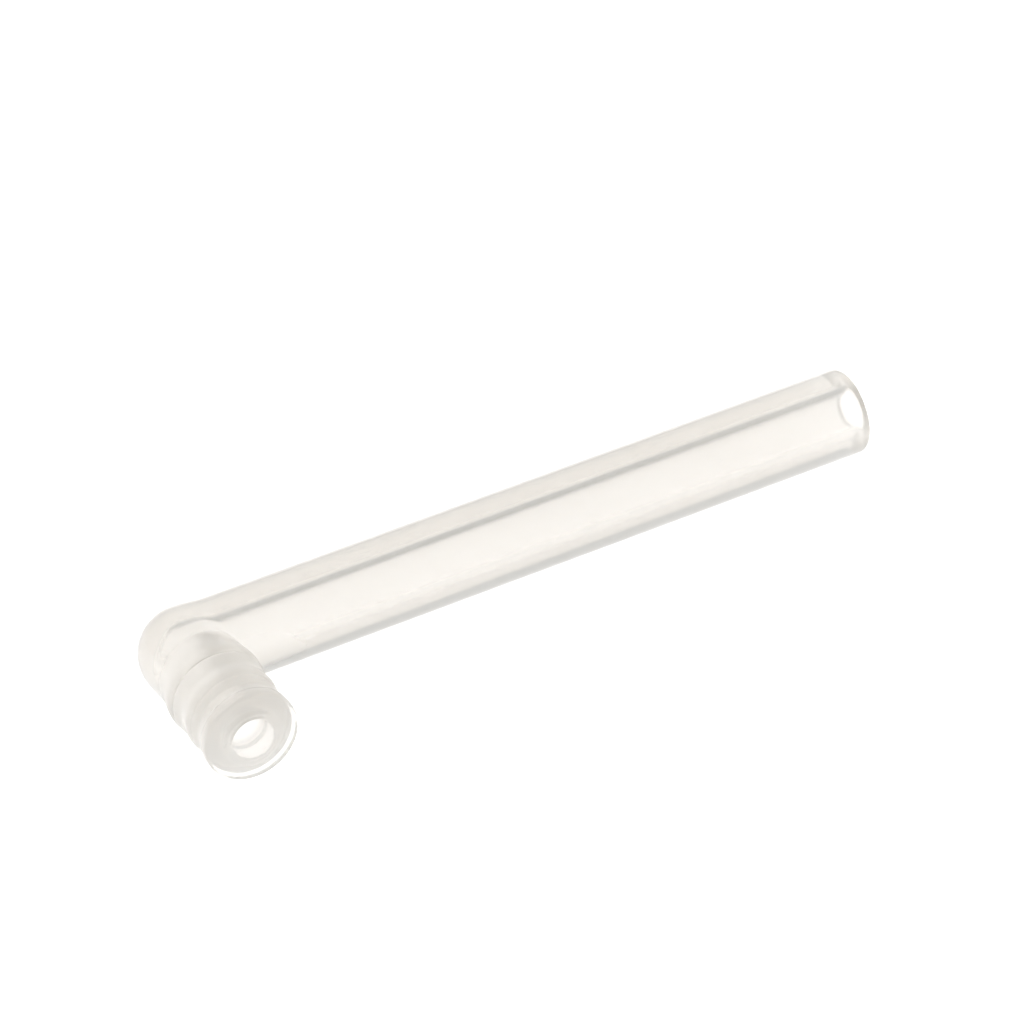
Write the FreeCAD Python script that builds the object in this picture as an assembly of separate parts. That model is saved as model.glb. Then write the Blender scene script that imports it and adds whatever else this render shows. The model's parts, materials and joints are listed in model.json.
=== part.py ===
import FreeCAD, Part

import math
import os

# L-shaped suction nozzle of a nasal aspirator, in millimetres.
# It lies flat: the long tube runs along +X, the short beaded stub along -Y, and +Z is up.
# The shapes are first made about the corner, where the two centre lines meet. place() then
# moves them so that the origin is the middle of the footprint, on the surface underneath.

# Suction tube
TUBE_RADIUS = 5.0
BORE_RADIUS = 2.1
CORNER_TO_TIP = 82.5
TIP_OUTER_ROUND = 0.7
TIP_INNER_CHAMFER = 0.8
CORNER_BALL_RADIUS = 5.3

# Beaded stub, measured from the corner along -Y: (distance, radius) down its outside
CORNER_TO_FACE = 17.5
BALL_SHOULDER = (1.4, 5.24)
ROOT_SLOPE = (2.9, 5.12)
ROOT_VALLEY = (4.4, 5.05)
TUBE_BEAD = (7.6, 5.48)
TUBE_LIP = (8.6, 5.35)
RING_VALLEY = (10.5, 5.1)
RING_BEAD = (12.0, 5.27)
RING_END = (12.9, 5.15)
NECK = (14.3, 4.8)
NECK_END_RADIUS = 4.86
FLANGE_RADIUS = 5.3
FLANGE_THICKNESS = 1.5
FLANGE_FRONT_BREAK = 0.35
FLANGE_BACK_BREAK = 0.2
EDGE_BREAK = 0.25

# Face of the flange: a shallow raised land round the bore
LAND_RADIUS = 3.1
LAND_HEIGHT = 0.35
MOUTH_CHAMFER = 0.25

# Push-in joint between the tube, the sealing ring and the flanged connector
RUNNING_GAP = 0.05
AXIAL_GAP = 0.05
STUB_BORE_RADIUS = 2.13
SOCKET_RADIUS = 3.9
SOCKET_FLOOR = 4.6
SLEEVE_INSET = 0.3
SHANK_RADIUS = 3.2
SHANK_SEAT = 9.1
SHANK_INSET = 0.15
CONNECTOR_BORE_RADIUS = 2.3

Y_AXIS = FreeCAD.Vector(0, 1, 0)
X_AXIS = FreeCAD.Vector(1, 0, 0)
CORNER = FreeCAD.Vector(0, 0, 0)


def along_stub(point):
    """A (distance, radius) pair of the stub's profile as a point in the XY plane."""
    distance, radius = point
    return FreeCAD.Vector(radius, -distance, 0)


def smooth_edge(points):
    """One smooth curve through (distance, radius) pairs."""
    curve = Part.BSplineCurve()
    curve.interpolate([along_stub(p) for p in points])
    return curve.toShape()


def straight_edges(points):
    """Straight runs through (distance, radius) pairs."""
    ends = [along_stub(p) for p in points]
    return [Part.LineSegment(a, b).toShape() for a, b in zip(ends, ends[1:])]


def turned_about_stub(edges):
    """The solid that a closed half-profile sweeps round the stub's centre line."""
    face = Part.Face(Part.Wire(edges))
    return face.revolve(CORNER, Y_AXIS, 360)


def rounded_corner(before, corner, after, radius):
    """(line end, middle, line start) of an arc that rounds a square corner."""
    into = (corner - before).normalize()
    away = (after - corner).normalize()
    start = corner - into * radius
    end = corner + away * radius
    centre = start + away * radius
    middle = centre + (corner - centre).normalize() * radius
    return start, middle, end


def quarter_dome(radius):
    """A quarter circle from the centre line, on the far side of the corner, to the stub's side."""
    diagonal = radius * math.sqrt(0.5)
    pole = FreeCAD.Vector(0, radius, 0)
    middle = FreeCAD.Vector(diagonal, diagonal, 0)
    side = FreeCAD.Vector(radius, 0, 0)
    return Part.Arc(pole, middle, side).toShape()


def tube_outside():
    """The long tube's outside from the corner to its rounded tip, turned about its centre line."""
    outline = [
        CORNER,
        FreeCAD.Vector(0, TUBE_RADIUS, 0),
        FreeCAD.Vector(CORNER_TO_TIP, TUBE_RADIUS, 0),
        FreeCAD.Vector(CORNER_TO_TIP, 0, 0),
    ]
    start, middle, end = rounded_corner(*outline[1:], TIP_OUTER_ROUND)
    edges = [
        Part.LineSegment(outline[0], outline[1]).toShape(),
        Part.LineSegment(outline[1], start).toShape(),
        Part.Arc(start, middle, end).toShape(),
        Part.LineSegment(end, outline[3]).toShape(),
        Part.LineSegment(outline[3], outline[0]).toShape(),
    ]
    return Part.Face(Part.Wire(edges)).revolve(CORNER, X_AXIS, 360)


def stub_outside():
    """The corner's ball and the bead moulded with the tube, as far as the stub's lip."""
    ball_side = (0.0, CORNER_BALL_RADIUS)
    pole = (-CORNER_BALL_RADIUS, 0.0)
    root = [BALL_SHOULDER, ROOT_SLOPE, ROOT_VALLEY]
    side = smooth_edge([ball_side] + root + [TUBE_BEAD, TUBE_LIP])
    rest = straight_edges([TUBE_LIP, (TUBE_LIP[0], 0.0), pole])
    return turned_about_stub([quarter_dome(CORNER_BALL_RADIUS), side] + rest)


def tube_bore():
    """The long tube's bore, with a chamfered mouth at the tip."""
    mouth_start = FreeCAD.Vector(CORNER_TO_TIP - TIP_INNER_CHAMFER, 0, 0)
    bore = Part.makeCylinder(BORE_RADIUS, CORNER_TO_TIP, CORNER, X_AXIS)
    mouth = Part.makeCone(
        BORE_RADIUS,
        BORE_RADIUS + TIP_INNER_CHAMFER,
        TIP_INNER_CHAMFER,
        mouth_start,
        X_AXIS,
    )
    return bore.fuse(mouth)


def stub_bore():
    """The bend at the corner, the stub's bore and the socket in its mouth."""
    bore_side = (0.0, STUB_BORE_RADIUS)
    pole = (-STUB_BORE_RADIUS, 0.0)
    sides = straight_edges(
        [
            bore_side,
            (SOCKET_FLOOR, STUB_BORE_RADIUS),
            (SOCKET_FLOOR, SOCKET_RADIUS),
            (TUBE_LIP[0], SOCKET_RADIUS),
            (TUBE_LIP[0], 0.0),
            pole,
        ]
    )
    return turned_about_stub([quarter_dome(STUB_BORE_RADIUS)] + sides)


def suction_tube():
    outside = tube_outside().fuse(stub_outside())
    inside = tube_bore().fuse(stub_bore())
    return outside.cut(inside)


def sealing_ring():
    """Soft ring past the tube's lip: its sleeve fills the tube's socket, its mouth takes the shank."""
    start = TUBE_LIP[0] + AXIAL_GAP
    mouth_radius = SHANK_RADIUS + RUNNING_GAP
    sleeve_radius = SOCKET_RADIUS - RUNNING_GAP
    sleeve_end = SOCKET_FLOOR + SLEEVE_INSET
    first = (start, TUBE_LIP[1] - EDGE_BREAK)
    shoulder = (start + EDGE_BREAK, TUBE_LIP[1])
    side = smooth_edge([shoulder, RING_VALLEY, RING_BEAD, RING_END])
    rest = straight_edges(
        [
            RING_END,
            (RING_END[0], mouth_radius),
            (SHANK_SEAT, mouth_radius),
            (SHANK_SEAT, CONNECTOR_BORE_RADIUS),
            (sleeve_end, CONNECTOR_BORE_RADIUS),
            (sleeve_end, sleeve_radius),
            (start, sleeve_radius),
            first,
            shoulder,
        ]
    )
    return turned_about_stub([side] + rest)


def flange_connector():
    """Clear flanged spigot: shank, neck, thin flange and the raised land on its face."""
    start = RING_END[0] + AXIAL_GAP
    back = CORNER_TO_FACE - LAND_HEIGHT - FLANGE_THICKNESS
    front = CORNER_TO_FACE - LAND_HEIGHT
    shank_end = SHANK_SEAT + SHANK_INSET
    shoulder = (start, RING_END[1])
    neck_end = (back, NECK_END_RADIUS)
    neck = smooth_edge([shoulder, NECK, neck_end])
    rest = straight_edges(
        [
            neck_end,
            (back, FLANGE_RADIUS - FLANGE_BACK_BREAK),
            (back + FLANGE_BACK_BREAK, FLANGE_RADIUS),
            (front - FLANGE_FRONT_BREAK, FLANGE_RADIUS),
            (front, FLANGE_RADIUS - FLANGE_FRONT_BREAK),
            (front, LAND_RADIUS + LAND_HEIGHT),
            (CORNER_TO_FACE, LAND_RADIUS),
            (CORNER_TO_FACE, CONNECTOR_BORE_RADIUS + MOUTH_CHAMFER),
            (CORNER_TO_FACE - MOUTH_CHAMFER, CONNECTOR_BORE_RADIUS),
            (shank_end, CONNECTOR_BORE_RADIUS),
            (shank_end, SHANK_RADIUS),
            (start, SHANK_RADIUS),
            shoulder,
        ]
    )
    return turned_about_stub([neck] + rest)


def place(shapes):
    """Moves every shape so that the origin is the footprint's middle, at the lowest point."""
    box = Part.makeCompound(list(shapes.values())).optimalBoundingBox(False, False)
    middle_x = (box.XMin + box.XMax) / 2
    middle_y = (box.YMin + box.YMax) / 2
    move = FreeCAD.Vector(-middle_x, -middle_y, -box.ZMin)
    for shape in shapes.values():
        shape.translate(move)
    return move


def main():
    shapes = {
        "suction_tube": suction_tube(),
        "sealing_ring": sealing_ring(),
        "flange_connector": flange_connector(),
    }
    move = place(shapes)
    print("corner at", [round(v, 4) for v in move])
    os.makedirs("parts", exist_ok=True)
    for name, shape in shapes.items():
        solid = shape.Solids[0]
        print(name, "solids", len(shape.Solids), "valid", shape.isValid(), round(solid.Volume, 2))
        solid.exportStep(os.path.join("parts", name + ".step"))


main()
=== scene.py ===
import json
import math

import bmesh
import bpy
import numpy as np
from mathutils import Matrix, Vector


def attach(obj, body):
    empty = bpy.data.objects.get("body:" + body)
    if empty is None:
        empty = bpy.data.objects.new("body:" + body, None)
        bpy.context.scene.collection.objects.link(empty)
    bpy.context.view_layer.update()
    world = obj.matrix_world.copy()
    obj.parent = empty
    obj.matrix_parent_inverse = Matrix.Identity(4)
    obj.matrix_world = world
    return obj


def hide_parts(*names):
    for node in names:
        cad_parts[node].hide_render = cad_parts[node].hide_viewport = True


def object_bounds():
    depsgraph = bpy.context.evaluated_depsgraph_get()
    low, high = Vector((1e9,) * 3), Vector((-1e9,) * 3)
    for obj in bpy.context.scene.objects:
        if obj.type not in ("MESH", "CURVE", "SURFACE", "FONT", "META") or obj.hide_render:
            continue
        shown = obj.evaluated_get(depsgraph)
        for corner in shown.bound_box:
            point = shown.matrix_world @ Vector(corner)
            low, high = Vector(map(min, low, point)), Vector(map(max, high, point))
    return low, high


MM = 0.001

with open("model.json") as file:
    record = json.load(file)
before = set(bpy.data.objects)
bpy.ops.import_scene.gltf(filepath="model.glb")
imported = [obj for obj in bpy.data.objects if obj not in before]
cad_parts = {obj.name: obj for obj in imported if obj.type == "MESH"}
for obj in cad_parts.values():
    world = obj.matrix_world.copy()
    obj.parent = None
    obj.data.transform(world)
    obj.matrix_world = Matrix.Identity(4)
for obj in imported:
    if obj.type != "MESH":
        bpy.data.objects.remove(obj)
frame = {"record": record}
cad_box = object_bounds()

# ---------------------------------------------------------------- places and sizes
# Sizes are in mm about the corner, except CORNER and FLOOR_Z, which are in metres.

mounts = {m["name"]: m for m in frame["record"]["mounts"]}
CORNER = np.array(
    [
        mounts["connector_bore"]["pos_m"][0],
        mounts["tip_bore"]["pos_m"][1],
        mounts["tip_bore"]["pos_m"][2],
    ]
)
FLOOR_Z = cad_box[0][2]

TUBE_R = 5.0
TUBE_BORE = mounts["tip_bore"]["dims"]["r_mm"]
BALL_R = 5.29
BALL_STRETCH = 0.6    # the corner's ball is this much longer towards the long tube
TIP_X = 82.49
TIP_ROUND = 0.7
TIP_INNER_ROUND = 0.8
STUB_BORE = 2.13
SOCKET_R = 3.9
SOCKET_FLOOR = 4.6
SOCKET_ROUND = 0.15
LIP = 8.6
LIP_ROUND = 0.25
RING_END = 12.9
RING_OUTER_ROUND = 0.18
FACE = 17.5
FLANGE_R = 5.3
FLANGE_THICKNESS = 1.5
FLANGE_FRONT_ROUND = 0.35
FLANGE_BACK_ROUND = 0.2
LAND_HEIGHT = 0.35
MOUTH_ROUND = 0.3
SHANK_R = 3.2
CONNECTOR_BORE = mounts["connector_bore"]["dims"]["r_mm"]
SHANK_SEAT = 9.1
CLEAR = 0.01          # between the faces of two pieces that press together

BEND_R = 5.6          # the grid's centre line turns the corner on this radius
PRESSED_OUT_TO = 5.0  # where two pieces meet end to end, out to this radius
TOUCHING = 0.001      # a ring this near a meeting face counts as on it
AROUND = 216          # steps round the tube, before the finer ones at the parting line
FLASH_STEPS = [-3.0, -1.9, -1.2, -0.6, 0.6, 1.2, 1.9, 3.0]    # degrees from the parting line
CLOSEST_STEPS = 0.35  # degrees
FLASH_HEIGHT = 0.005
FLASH_WIDTH = 0.09
OUTER_BLEND = 0.3     # how far the surfaces run together where the tube meets the stub
BORE_BLEND = 0.8
SHARP_ANGLE = 30      # degrees
OUTER_REACH = 12.0    # cast() looks for the surface this far out from the centre line
BORE_REACH = 4.0
HALVINGS = 40

# Outsides down the stub from the corner, as (distance, radius)
LIP_R = 5.35
BEAD_KNOTS = [(0.0, BALL_R), (4.4, 5.05), (7.6, 5.46), (LIP, LIP_R)]
RING_KNOTS = [(10.5, 5.1), (12.0, 5.27), (RING_END, 5.15)]
NECK_START_R = 5.15
NECK = (14.3, 4.8)
NECK_END_R = 4.86


# ---------------------------------------------------------------- shapes


def eased(x, knots):
    """A smooth curve through (place, height) pairs, level at each of them."""
    x = np.asarray(x, float)
    places = np.array([k[0] for k in knots])
    heights = np.array([k[1] for k in knots])
    i = np.clip(np.searchsorted(places, x) - 1, 0, len(knots) - 2)
    t = np.clip((x - places[i]) / (places[i + 1] - places[i]), 0, 1)
    w = t * t * (3 - 2 * t)
    return heights[i] + w * (heights[i + 1] - heights[i])


def smooth_least(a, b, k):
    """The smaller of two distances, rounded off where they meet."""
    h = np.clip(0.5 + 0.5 * (b - a) / k, 0, 1)
    return b + h * (a - b) - k * h * (1 - h)


def outside_of_tube(p):
    """Distance outside the L-shaped tube's outer surface, about the corner, in mm."""
    x, y, z = p[..., 0], p[..., 1], p[..., 2]
    across = np.hypot(y, z)
    tube = np.where(x > 0, across - TUBE_R, np.hypot(across, x) - TUBE_R)
    down = -y
    stretch = 1 + eased(y, [(-1.0, 0.0), (2.0, BALL_STRETCH)])
    about = np.hypot(np.where(x > 0, x / stretch, x), z)
    stub = np.where(down > 0, about - eased(down, BEAD_KNOTS), np.hypot(about, down) - BALL_R)
    return smooth_least(tube, stub, OUTER_BLEND)


def outside_of_bore(p):
    """The same for the air way inside it."""
    x, y, z = p[..., 0], p[..., 1], p[..., 2]
    across = np.hypot(y, z)
    tube = np.where(x > 0, across - TUBE_BORE, np.hypot(across, x) - TUBE_BORE)
    down = -y
    about = np.hypot(x, z)
    stub = np.where(down > 0, about - STUB_BORE, np.hypot(about, down) - STUB_BORE)
    return smooth_least(tube, stub, BORE_BLEND)


def cast(centres, directions, outside, reach):
    """Distance from each centre, along its direction, to where outside() turns positive."""
    near = np.zeros(directions.shape[:-1])
    far = np.full(directions.shape[:-1], reach)
    for _ in range(HALVINGS):
        middle = (near + far) / 2
        beyond = outside(centres + directions * middle[..., None]) > 0
        far = np.where(beyond, middle, far)
        near = np.where(beyond, near, middle)
    return (near + far) / 2


def angles_round():
    """Angles round a section, closer together at the mould's parting line, at 0 and half a turn."""
    even = np.linspace(0, 2 * math.pi, AROUND, endpoint=False)
    fine = np.radians(FLASH_STEPS)
    every = np.concatenate([even, fine, math.pi + fine]) % (2 * math.pi)
    every = np.unique(np.round(every, 6))
    keep = [every[0]]
    for a in every[1:]:
        if a - keep[-1] > math.radians(CLOSEST_STEPS):
            keep.append(a)
    return np.array(keep)


def centre_line(stations):
    """Centre and outward normal at each station of the L's centre line. A station is a distance in
    mm from the lip, up the stub, round the corner and along the tube."""
    centres, normals = [], []
    up_stub = LIP - BEND_R
    arc = BEND_R * math.pi / 2
    for s in stations:
        if s < up_stub:
            centres.append((0, -LIP + s, 0))
            normals.append((-1, 0, 0))
        elif s < up_stub + arc:
            a = (s - up_stub) / BEND_R
            centres.append((BEND_R - BEND_R * math.cos(a), -BEND_R + BEND_R * math.sin(a), 0))
            normals.append((-math.cos(a), math.sin(a), 0))
        else:
            centres.append((BEND_R + s - up_stub - arc, 0, 0))
            normals.append((0, 1, 0))
    return np.array(centres, float), np.array(normals, float)


def section_points(stations, outside, reach, angles, extra=0.0):
    """Rings of points where each station's section meets a surface, or extra beyond it."""
    centres, normals = centre_line(stations)
    up = np.array([0, 0, 1.0])
    spokes = (
        np.cos(angles)[None, :, None] * normals[:, None, :]
        + np.sin(angles)[None, :, None] * up[None, None, :]
    )
    distance = cast(centres[:, None, :], spokes, outside, reach) + extra
    return centres[:, None, :] + spokes * distance[..., None]


def plain_rings(places, radii, angles):
    """Rings round the long tube's own centre line."""
    rings = []
    for x, r in zip(places, radii):
        rings.append(
            np.stack([np.full_like(angles, x), r * np.cos(angles), r * np.sin(angles)], -1)
        )
    return np.array(rings)


def stub_rings(places, radii, angles):
    """Rings round the stub's centre line, at distances down it."""
    rings = []
    for s, r in zip(places, radii):
        rings.append(
            np.stack([-r * np.cos(angles), np.full_like(angles, -s), r * np.sin(angles)], -1)
        )
    return np.array(rings)


def ring_mesh(name, rings, pressed):
    """A closed mesh whose rings join one after another, and the last to the first. pressed holds
    1 for each ring that lies against another piece."""
    rows, cols = rings.shape[:2]
    points = rings.reshape(-1, 3) * MM + CORNER
    index = np.arange(rows * cols).reshape(rows, cols)
    below = np.roll(index, -1, axis=0)
    corners = [index, np.roll(index, -1, 1), np.roll(below, -1, 1), below]
    quads = np.stack(corners, -1).reshape(-1, 4)
    mesh = bpy.data.meshes.new(name)
    mesh.from_pydata(points.tolist(), [], quads.tolist())
    bm = bmesh.new()
    bm.from_mesh(mesh)
    bmesh.ops.recalc_face_normals(bm, faces=bm.faces)
    bm.to_mesh(mesh)
    bm.free()
    mesh.polygons.foreach_set("use_smooth", [True] * len(mesh.polygons))
    mesh.set_sharp_from_angle(angle=math.radians(SHARP_ANGLE))
    against = mesh.attributes.new("pressed", "FLOAT", "POINT")
    against.data.foreach_set("value", np.repeat(np.asarray(pressed, float), cols))
    piece = bpy.data.objects.new(name, mesh)
    bpy.context.scene.collection.objects.link(piece)
    return piece


def arc_of(centre, radius, start_deg, end_deg, steps):
    """(place, radius) pairs on an arc of a profile."""
    a = np.radians(np.linspace(start_deg, end_deg, steps))
    return [(centre[0] + radius * math.sin(t), centre[1] + radius * math.cos(t)) for t in a]


# ---------------------------------------------------------------- pieces


def spans(*runs):
    """Stations along several runs, each given as (start, end, how many)."""
    return np.concatenate([np.linspace(*run) for run in runs])


def make_tube():
    angles = angles_round()
    flash = FLASH_HEIGHT * np.exp(-((np.sin(angles) * TUBE_R / FLASH_WIDTH) ** 2))
    arc = BEND_R * math.pi / 2
    tip_start = LIP - BEND_R + arc + (TIP_X - TIP_ROUND - BEND_R)
    outer_stations = spans((0.28, 7.0, 40), (7.15, 15.0, 60), (15.4, tip_start, 90))
    outer = section_points(outer_stations, outside_of_tube, OUTER_REACH, angles, extra=flash)
    tip = arc_of((TIP_X - TIP_ROUND, TUBE_R - TIP_ROUND), TIP_ROUND, 0, 90, 9)[1:]
    mouth_r = TUBE_BORE + TIP_INNER_ROUND
    tip += [(TIP_X, r) for r in np.linspace(TUBE_R - TIP_ROUND, mouth_r, 5)[1:]]
    tip += [
        (
            TIP_X - TIP_INNER_ROUND + TIP_INNER_ROUND * math.cos(t),
            mouth_r - TIP_INNER_ROUND * math.sin(t),
        )
        for t in np.radians(np.linspace(0, 90, 7))[1:]
    ]
    tip_rings = plain_rings([p[0] for p in tip], [p[1] for p in tip], angles)
    inner_stations = spans((4.0, 15.0, 60), (15.6, tip_start - 1.2, 60))[::-1]
    inner = section_points(inner_stations, outside_of_bore, BORE_REACH, angles)
    socket = [(SOCKET_FLOOR, STUB_BORE), (SOCKET_FLOOR, 2.6), (SOCKET_FLOOR, 3.3)]
    floor_middle = (SOCKET_FLOOR + SOCKET_ROUND, SOCKET_R - SOCKET_ROUND)
    socket += arc_of(floor_middle, SOCKET_ROUND, -90, 0, 4)
    socket += [(s, SOCKET_R) for s in np.linspace(SOCKET_FLOOR + 0.5, LIP - 0.4, 8)]
    socket += arc_of((LIP - SOCKET_ROUND, SOCKET_R + SOCKET_ROUND), -SOCKET_ROUND, 0, -90, 4)
    socket += [(LIP, 4.4), (LIP, 4.9)]
    socket += arc_of((LIP - LIP_ROUND, LIP_R - LIP_ROUND), LIP_ROUND, 90, 10, 6)
    socket_rings = stub_rings([p[0] for p in socket], [p[1] for p in socket], angles)
    rings = np.concatenate([outer, tip_rings, inner, socket_rings])
    pressed = np.zeros(len(rings))
    pressed[-len(socket):] = [p[1] < PRESSED_OUT_TO for p in socket]
    return ring_mesh("silicone_tube", rings, pressed)


def make_turned(name, profile, pressed):
    angles = angles_round()
    rings = stub_rings([p[0] for p in profile], [p[1] for p in profile], angles)
    return ring_mesh(name, rings, [pressed(s, r) for s, r in profile])


def make_ring():
    start = LIP + CLEAR
    inner = SHANK_R + CLEAR
    sleeve = SOCKET_R - CLEAR
    sleeve_end = SOCKET_FLOOR + CLEAR
    knots = [(start, LIP_R)] + RING_KNOTS
    outside = [(s, eased(s, knots)) for s in np.linspace(start + 0.25, RING_END - 0.2, 40)]
    profile = arc_of((start + 0.22, 5.13), 0.22, -90, -10, 5)
    profile += [(float(s), float(r)) for s, r in outside]
    profile += arc_of((RING_END - RING_OUTER_ROUND, 4.98), RING_OUTER_ROUND, 20, 90, 5)
    profile += [(RING_END, r) for r in (4.6, 4.0, 3.5)]
    profile += [(s, inner) for s in np.linspace(RING_END, SHANK_SEAT, 12)]
    profile += [(s, CONNECTOR_BORE) for s in np.linspace(SHANK_SEAT, sleeve_end, 12)]
    profile += [(sleeve_end, 3.2)]
    profile += [(s, sleeve) for s in np.linspace(sleeve_end, start, 10)]
    profile += [(start, r) for r in (4.3, 4.8)]

    def pressed(s, r):
        at_tube = s < start + TOUCHING
        at_shank = s > SHANK_SEAT - TOUCHING
        return CONNECTOR_BORE < r < PRESSED_OUT_TO and (at_tube or at_shank)

    return make_turned("bead_seal", profile, pressed)


def make_connector():
    start = RING_END + CLEAR
    back = FACE - LAND_HEIGHT - FLANGE_THICKNESS
    front = FACE - LAND_HEIGHT
    neck_knots = [(start, NECK_START_R), NECK, (back, NECK_END_R)]
    profile = arc_of((start + RING_OUTER_ROUND, 4.95), RING_OUTER_ROUND, -90, -10, 5)
    neck_places = np.linspace(start + 0.22, back - 0.12, 22)
    profile += [(float(s), float(eased(s, neck_knots))) for s in neck_places]
    profile += [(back - 0.03, 4.89), (back, 4.98), (back, 5.08)]
    back_middle = (back + FLANGE_BACK_ROUND, FLANGE_R - FLANGE_BACK_ROUND)
    front_middle = (front - FLANGE_FRONT_ROUND, FLANGE_R - FLANGE_FRONT_ROUND)
    profile += arc_of(back_middle, FLANGE_BACK_ROUND, -90, 0, 5)
    profile += arc_of(front_middle, FLANGE_FRONT_ROUND, 0, 90, 7)
    profile += [(front, r) for r in (4.6, 4.25, 3.9, 3.6)]
    profile += [(front + 0.04, 3.45), (front + 0.15, 3.32), (FACE - 0.05, 3.16), (FACE, 3.05)]
    profile += [(FACE, r) for r in (2.9, 2.75)]
    mouth_middle = (FACE - MOUTH_ROUND, CONNECTOR_BORE + MOUTH_ROUND)
    profile += arc_of(mouth_middle, -MOUTH_ROUND, -90, 0, 7)
    profile += [(s, CONNECTOR_BORE) for s in np.linspace(FACE - 0.8, SHANK_SEAT + CLEAR, 20)]
    profile += [(SHANK_SEAT + CLEAR, 2.7)]
    profile += [(s, SHANK_R) for s in np.linspace(SHANK_SEAT + CLEAR, start, 10)]
    profile += [(start, r) for r in (3.8, 4.5)]

    def pressed(s, r):
        return CONNECTOR_BORE < r < PRESSED_OUT_TO and s < start + TOUCHING

    return make_turned("flanged_end", profile, pressed)


# ---------------------------------------------------------------- materials


IOR = 1.41
PRESSED_IOR = 1.01    # no air between pressed faces, so they hardly show
CLOUD = (0.92, 0.96, 1.0)    # what the haze scatters
FORWARD = 0.6         # how much of it goes on forwards
PATCHES = 140         # patches of roughness per metre
TUBE_SKIN = (0.17, 0.22, 0.32)    # roughness on the long tube, at the corner and on the stub
CLEAR_SKIN = (0.26, 0.26, 0.26)
SILICONE_SOAK = (0.5, 0.45, 0.36)
CLEAR_SOAK = (0.5, 0.46, 0.38)


def ramp_along(nodes, links, place, start, end, low, high):
    """A value that runs smoothly from low to high as a coordinate goes from start to end."""
    ramp = nodes.new("ShaderNodeMapRange")
    ramp.interpolation_type = "SMOOTHSTEP"
    ramp.inputs["From Min"].default_value = start
    ramp.inputs["From Max"].default_value = end
    ramp.inputs["To Min"].default_value = low
    ramp.inputs["To Max"].default_value = high
    links.new(place, ramp.inputs["Value"])
    return ramp.outputs["Result"]


def total(nodes, links, a, b):
    plus = nodes.new("ShaderNodeMath")
    plus.operation = "ADD"
    links.new(a, plus.inputs[0])
    links.new(b, plus.inputs[1])
    return plus.outputs[0]


def see_through(name, rough, spread, density, soak, soak_density):
    """Clear or milky stuff: refracting skin, and inside it haze that scatters and soaks up light.
    rough is the skin's roughness on the long tube, at the corner and on the stub."""
    on_tube, at_corner, on_stub = rough
    mat = bpy.data.materials.new(name)
    mat.use_nodes = True
    nodes, links = mat.node_tree.nodes, mat.node_tree.links
    bsdf = nodes["Principled BSDF"]
    coords = nodes.new("ShaderNodeTexCoord")
    patches = nodes.new("ShaderNodeTexNoise")
    patches.inputs["Scale"].default_value = PATCHES
    patches.inputs["Detail"].default_value = 3
    links.new(coords.outputs["Object"], patches.inputs["Vector"])
    places = nodes.new("ShaderNodeSeparateXYZ")
    links.new(coords.outputs["Object"], places.inputs["Vector"])
    uneven = ramp_along(nodes, links, patches.outputs["Fac"], 0.0, 1.0, -spread, spread)
    start, end = CORNER[0] + 4 * MM, CORNER[0] + 14 * MM
    along_tube = ramp_along(nodes, links, places.outputs["X"], start, end, at_corner, on_tube)
    start, end = CORNER[1] - 6 * MM, CORNER[1] - 2 * MM
    more = on_stub - at_corner
    down_stub = ramp_along(nodes, links, places.outputs["Y"], start, end, more, 0.0)
    skin = total(nodes, links, total(nodes, links, along_tube, down_stub), uneven)
    links.new(skin, bsdf.inputs["Roughness"])
    bsdf.inputs["Base Color"].default_value = (1, 1, 1, 1)
    against = nodes.new("ShaderNodeAttribute")
    against.attribute_name = "pressed"
    bend = nodes.new("ShaderNodeMapRange")
    bend.inputs["To Min"].default_value = IOR
    bend.inputs["To Max"].default_value = PRESSED_IOR
    links.new(against.outputs["Fac"], bend.inputs["Value"])
    links.new(bend.outputs["Result"], bsdf.inputs["IOR"])
    bsdf.inputs["Transmission Weight"].default_value = 1.0
    haze = nodes.new("ShaderNodeVolumeScatter")
    haze.inputs["Color"].default_value = (*CLOUD, 1)
    haze.inputs["Density"].default_value = density
    haze.inputs["Anisotropy"].default_value = FORWARD
    dye = nodes.new("ShaderNodeVolumeAbsorption")
    dye.inputs["Color"].default_value = (*soak, 1)
    dye.inputs["Density"].default_value = soak_density
    both = nodes.new("ShaderNodeAddShader")
    links.new(haze.outputs[0], both.inputs[0])
    links.new(dye.outputs[0], both.inputs[1])
    links.new(both.outputs[0], nodes["Material Output"].inputs["Volume"])
    return mat


def give(piece, mat):
    piece.data.materials.clear()
    piece.data.materials.append(mat)


# ---------------------------------------------------------------- camera, lights, floor

FLOOR_GLOW = 1.46
FLOOR_HALF = 3.0      # metres
FLOOR_GAP = 0.0002    # metres under the object, so that no face of it lies in the floor
# The studio is pale all round but for a dark panel low behind the object. The stops run with the
# distance from the panel's middle, in its own half-widths: (distance, colour)
PANEL_TOWARDS = (0.333, 0.93, 0.16)
PANEL_REACH = (0.7, 0.7, 0.5)
STUDIO = [
    (0.0, (0.26, 0.3, 0.33)),
    (0.5, (0.26, 0.3, 0.33)),
    (1.0, (0.595, 0.565, 0.52)),
]

VIEW_AZ, VIEW_EL, VIEW_ROLL = (math.radians(a) for a in (-24.07, 35.15, 5.66))
LENS = 140.6
SENSOR = 36
DISTANCE = 426.8 * MM
ASIDE = 34.70 * MM    # camera's shift along its own right, away from the corner
OVER = 15.07 * MM     # and along its own up


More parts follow.
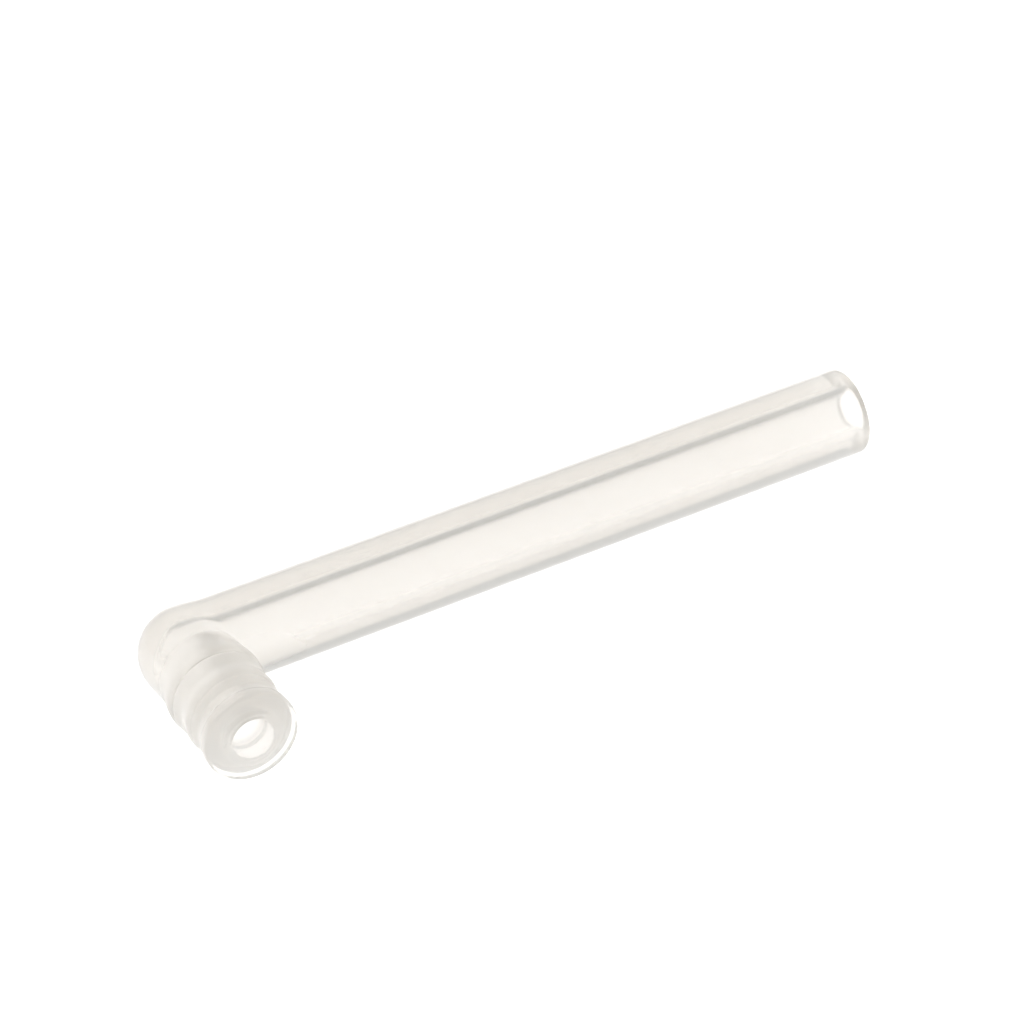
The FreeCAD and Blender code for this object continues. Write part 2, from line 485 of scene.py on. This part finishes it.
def add_camera():
    back = np.array(
        [
            math.sin(VIEW_AZ) * math.cos(VIEW_EL),
            -math.cos(VIEW_AZ) * math.cos(VIEW_EL),
            math.sin(VIEW_EL),
        ]
    )
    level = np.array([math.cos(VIEW_AZ), math.sin(VIEW_AZ), 0])
    above = np.cross(back, level)
    right = math.cos(VIEW_ROLL) * level - math.sin(VIEW_ROLL) * above
    up = math.sin(VIEW_ROLL) * level + math.cos(VIEW_ROLL) * above
    place = CORNER + DISTANCE * back + ASIDE * right + OVER * up
    data = bpy.data.cameras.new("camera")
    data.sensor_width = SENSOR
    data.lens = LENS
    data.clip_start = 0.01
    camera = bpy.data.objects.new("camera", data)
    camera.matrix_world = Matrix(
        [[right[i], up[i], back[i], place[i]] for i in range(3)] + [[0, 0, 0, 1]]
    )
    bpy.context.scene.collection.objects.link(camera)
    bpy.context.scene.camera = camera


def add_floor():
    mesh = bpy.data.meshes.new("floor")
    half = FLOOR_HALF
    z = FLOOR_Z - FLOOR_GAP
    corners = [(-half, -half, z), (half, -half, z), (half, half, z), (-half, half, z)]
    mesh.from_pydata(corners, [], [(0, 1, 2, 3)])
    floor = bpy.data.objects.new("floor", mesh)
    bpy.context.scene.collection.objects.link(floor)
    mat = bpy.data.materials.new("pale_floor")
    mat.use_nodes = True
    nodes, links = mat.node_tree.nodes, mat.node_tree.links
    bsdf = nodes["Principled BSDF"]
    bsdf.inputs["Base Color"].default_value = (0.1, 0.1, 0.1, 1)
    bsdf.inputs["Roughness"].default_value = 0.9
    bsdf.inputs["Specular IOR Level"].default_value = 0.0
    bsdf.inputs["Emission Color"].default_value = (1, 1, 1, 1)
    bsdf.inputs["Emission Strength"].default_value = FLOOR_GLOW
    give(floor, mat)


def add_world():
    world = bpy.data.worlds.new("studio")
    bpy.context.scene.world = world
    world.use_nodes = True
    nodes, links = world.node_tree.nodes, world.node_tree.links
    coords = nodes.new("ShaderNodeTexCoord")
    from_middle = nodes.new("ShaderNodeVectorMath")
    from_middle.operation = "SUBTRACT"
    from_middle.inputs[1].default_value = PANEL_TOWARDS
    links.new(coords.outputs["Generated"], from_middle.inputs[0])
    in_widths = nodes.new("ShaderNodeVectorMath")
    in_widths.operation = "DIVIDE"
    in_widths.inputs[1].default_value = PANEL_REACH
    links.new(from_middle.outputs[0], in_widths.inputs[0])
    away = nodes.new("ShaderNodeVectorMath")
    away.operation = "LENGTH"
    links.new(in_widths.outputs[0], away.inputs[0])
    ramp = nodes.new("ShaderNodeValToRGB")
    stops = ramp.color_ramp.elements
    stops[0].position, stops[0].color = STUDIO[0][0], (*STUDIO[0][1], 1)
    stops[1].position, stops[1].color = STUDIO[-1][0], (*STUDIO[-1][1], 1)
    for place, colour in STUDIO[1:-1]:
        stop = stops.new(place)
        stop.color = (*colour, 1)
    links.new(away.outputs["Value"], ramp.inputs["Fac"])
    background = nodes["Background"]
    links.new(ramp.outputs["Color"], background.inputs["Color"])
    background.inputs["Strength"].default_value = 1.0


# ---------------------------------------------------------------- the scene

tube = make_tube()
ring = make_ring()
connector = make_connector()
silicone = see_through("milky_silicone", TUBE_SKIN, 0.03, 200, SILICONE_SOAK, 50)
soft_seal = see_through("seal_silicone", TUBE_SKIN, 0.03, 200, SILICONE_SOAK, 36)
clear = see_through("clear_plastic", CLEAR_SKIN, 0.02, 500, CLEAR_SOAK, 60)
give(tube, silicone)
give(ring, soft_seal)
give(connector, clear)

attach(tube, "tube")
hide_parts("suction_tube")
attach(ring, "seal")
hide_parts("sealing_ring")
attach(connector, "connector")
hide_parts("flange_connector")

add_camera()
add_floor()
add_world()
LIGHT_BOUNCES = 96    # light crosses many skins on its way through the nested pieces
HAZE_BOUNCES = 64
scene = bpy.context.scene
scene.cycles.max_bounces = LIGHT_BOUNCES
scene.cycles.transmission_bounces = LIGHT_BOUNCES
scene.cycles.glossy_bounces = LIGHT_BOUNCES
scene.cycles.blur_glossy = 0.0    # any blur loses light inside the stub
scene.cycles.volume_bounces = HAZE_BOUNCES
bpy.context.scene.view_settings.view_transform = "Standard"
